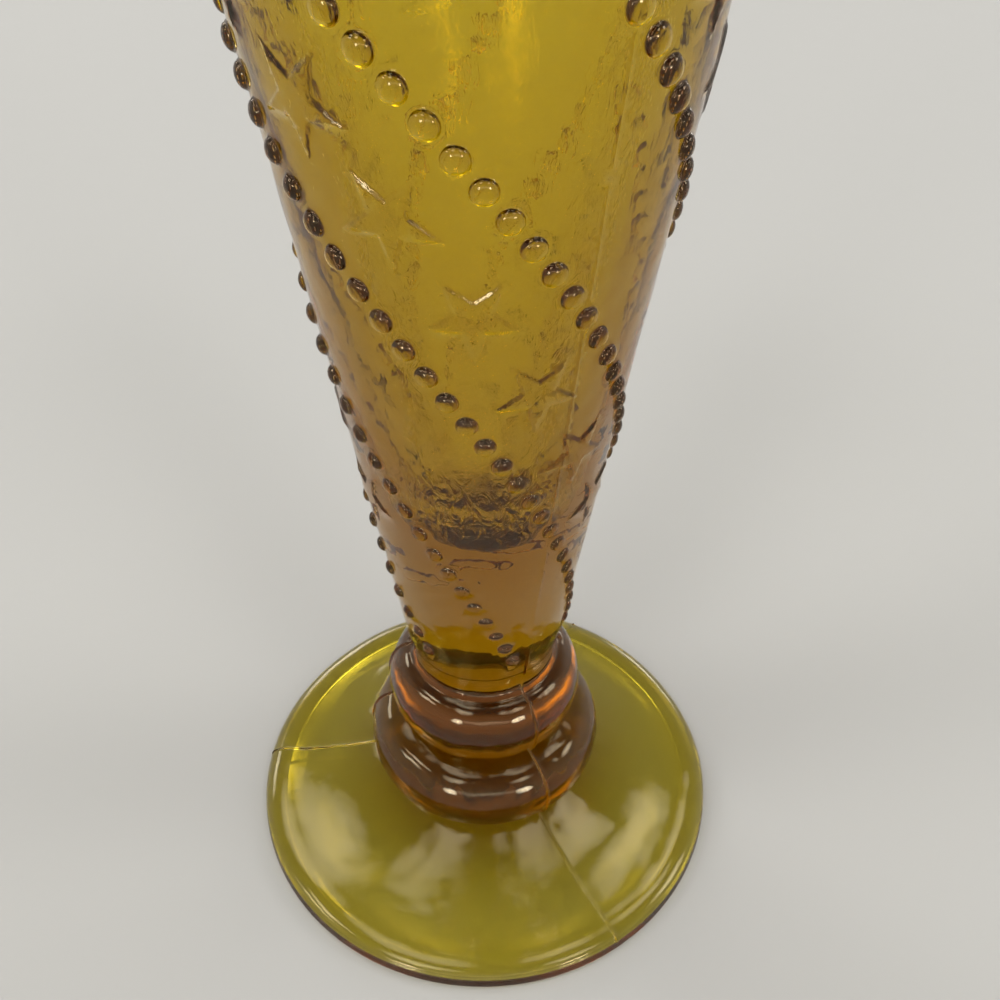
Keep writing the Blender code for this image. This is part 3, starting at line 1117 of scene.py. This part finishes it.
class VASE_OT_stage(bpy.types.Operator):
    """Lay the plain pale floor, light the backdrop and hang the soft lamps"""

    bl_idname = "vase.stage"
    bl_label = "Set the stage"

    def execute(self, context):
        scene = context.scene
        look = scene.vase_studio
        # Each point of the floor is a ring's radius times the cosine and sine of its angle
        ring = np.array(FLOOR_RINGS)[:, None]
        angle = np.radians(np.arange(0, 360, 5.0))[None, :]
        flat = np.stack([ring * np.cos(angle), ring * np.sin(angle), 0 * ring * angle], -1)
        count = angle.size
        corner = np.arange(3 * count).reshape(3, count)
        beside = np.roll(corner, -1, 1)
        faces = np.stack([corner, corner + count, beside + count, beside], -1).reshape(-1, 4)
        mesh = bpy.data.meshes.new("floor")
        mesh.from_pydata(
            flat.reshape(-1, 3).tolist(), [], [list(range(count)), *faces.tolist()]
        )
        floor = bpy.data.objects.new("floor", mesh)
        scene.collection.objects.link(floor)
        mesh.materials.append(matt_floor(look))

        world = bpy.data.worlds.new("studio")
        world.use_nodes = True
        tree = world.node_tree
        tree.nodes.clear()
        # Pale walls, and above them a smooth fall to the dim ceiling
        way = add_node(tree, "ShaderNodeTexCoord").outputs["Generated"]
        height = add_node(tree, "ShaderNodeSeparateXYZ", {}, {"Vector": way}).outputs["Z"]
        level = add_node(
            tree,
            "ShaderNodeMapRange",
            {
                "interpolation_type": "SMOOTHSTEP",
                "From Min": math.sin(math.radians(WALL_TOP)),
                "From Max": math.sin(math.radians(CEILING_START)),
                "To Min": 1.0,
                "To Max": look.ceiling,
            },
            {"Value": height},
        ).outputs["Result"]

        # Each soft lamp is a bright patch that fades from its middle: 1 less the squares of the
        # distances across and up, as shares of half its width and half its height
        for azimuth, elevation, half_width, half_height, bright in STUDIO_LAMPS:
            across, up = math.radians(azimuth), math.radians(elevation)
            aim = Vector(
                (math.sin(across) * math.cos(up), math.cos(across) * math.cos(up), math.sin(up))
            )
            level_axis = Vector((math.cos(across), -math.sin(across), 0.0))
            steep_axis = level_axis.cross(aim)
            shares = []
            for axis, half in ((level_axis, half_width), (steep_axis, half_height)):
                offset = add_node(
                    tree,
                    "ShaderNodeVectorMath",
                    {"operation": "DOT_PRODUCT", 1: axis / math.sin(math.radians(half))},
                    {0: way},
                ).outputs["Value"]
                shares.append(
                    add_node(tree, "ShaderNodeMath", {"operation": "POWER", 1: 2.0}, {0: offset})
                )
            from_middle = add_node(
                tree,
                "ShaderNodeMath",
                {"operation": "ADD"},
                {0: shares[0].outputs[0], 1: shares[1].outputs[0]},
            )
            inside = add_node(
                tree,
                "ShaderNodeMath",
                {"operation": "SUBTRACT", 0: 1.0, "use_clamp": True},
                {1: from_middle.outputs[0]},
            )
            facing = add_node(
                tree, "ShaderNodeVectorMath", {"operation": "DOT_PRODUCT", 1: aim}, {0: way}
            )
            ahead = add_node(
                tree,
                "ShaderNodeMath",
                {"operation": "GREATER_THAN", 1: 0.0},
                {0: facing.outputs["Value"]},
            )
            patch = add_node(
                tree,
                "ShaderNodeMath",
                {"operation": "MULTIPLY", 1: bright * look.lamps},
                {0: inside.outputs[0]},
            )
            level = add_node(
                tree,
                "ShaderNodeMath",
                {"operation": "MULTIPLY_ADD"},
                {0: patch.outputs[0], 1: ahead.outputs[0], 2: level},
            ).outputs[0]
        # The camera itself sees the bare backdrop, with no lamp hanging in it
        seen = add_node(tree, "ShaderNodeLightPath").outputs["Is Camera Ray"]
        strength = add_node(
            tree, "ShaderNodeMix", {"data_type": "FLOAT", 3: 1.0}, {0: seen, 2: level}
        )
        backdrop = add_node(
            tree,
            "ShaderNodeBackground",
            {"Color": (*look.backdrop, 1.0)},
            {"Strength": strength.outputs[0]},
        )
        add_node(tree, "ShaderNodeOutputWorld", {}, {"Surface": backdrop.outputs[0]})
        scene.world = world
        return {"FINISHED"}


class VASE_OT_camera(bpy.types.Operator):
    """Put the camera where the photograph was taken: close above the foot, looking down"""

    bl_idname = "vase.camera"
    bl_label = "Place the camera"

    def execute(self, context):
        forward = Vector(
            (
                math.sin(CAMERA_YAW) * math.cos(CAMERA_PITCH),
                math.cos(CAMERA_YAW) * math.cos(CAMERA_PITCH),
                -math.sin(CAMERA_PITCH),
            )
        )
        level = Vector((math.cos(CAMERA_YAW), -math.sin(CAMERA_YAW), 0.0))
        above = level.cross(forward)
        right = level * math.cos(CAMERA_ROLL) + above * math.sin(CAMERA_ROLL)
        up = above * math.cos(CAMERA_ROLL) - level * math.sin(CAMERA_ROLL)
        lens = bpy.data.cameras.new("camera")
        lens.sensor_fit = "HORIZONTAL"
        lens.sensor_width = CAMERA_SENSOR
        lens.lens = CAMERA_LENS
        lens.clip_start = 0.005
        lens.clip_end = 20.0
        camera = bpy.data.objects.new("camera", lens)
        context.scene.collection.objects.link(camera)
        turned = Matrix((right, up, -forward)).transposed().to_4x4()
        camera.matrix_world = Matrix.Translation(CAMERA_PLACE) @ turned
        context.scene.camera = camera
        return {"FINISHED"}


class VASE_PT_panel(bpy.types.Panel):
    """Lists the vase's sizes, its glass, the stage and the steps that make them"""

    bl_idname = "VASE_PT_panel"
    bl_label = "Bud vase"
    bl_space_type = "VIEW_3D"
    bl_region_type = "UI"
    bl_category = "Bud vase"

    def draw(self, context):
        scene = context.scene
        for group in (scene.vase_sizes, scene.vase_glass, scene.vase_studio):
            box = self.layout.box()
            for name in group.__annotations__:
                box.prop(group, name)
        for step in (VASE_OT_press, VASE_OT_stage, VASE_OT_camera):
            self.layout.operator(step.bl_idname)


CLASSES = (
    VaseSizes,
    GlassLook,
    StudioLook,
    VASE_OT_press,
    VASE_OT_stage,
    VASE_OT_camera,
    VASE_PT_panel,
)


def register():
    for part in CLASSES:
        bpy.utils.register_class(part)
    bpy.types.Scene.vase_sizes = bpy.props.PointerProperty(type=VaseSizes)
    bpy.types.Scene.vase_glass = bpy.props.PointerProperty(type=GlassLook)
    bpy.types.Scene.vase_studio = bpy.props.PointerProperty(type=StudioLook)


def unregister():
    del bpy.types.Scene.vase_studio
    del bpy.types.Scene.vase_glass
    del bpy.types.Scene.vase_sizes
    for part in reversed(CLASSES):
        bpy.utils.unregister_class(part)


def main():
    register()
    scene = bpy.context.scene
    bpy.ops.vase.press()
    bpy.ops.vase.stage()
    bpy.ops.vase.camera()
    scene.view_settings.view_transform = "Standard"
    scene.cycles.max_bounces = 18
    scene.cycles.transmission_bounces = 18
    scene.cycles.glossy_bounces = 10
    scene.cycles.diffuse_bounces = 3


if __name__ == "__main__":
    main()
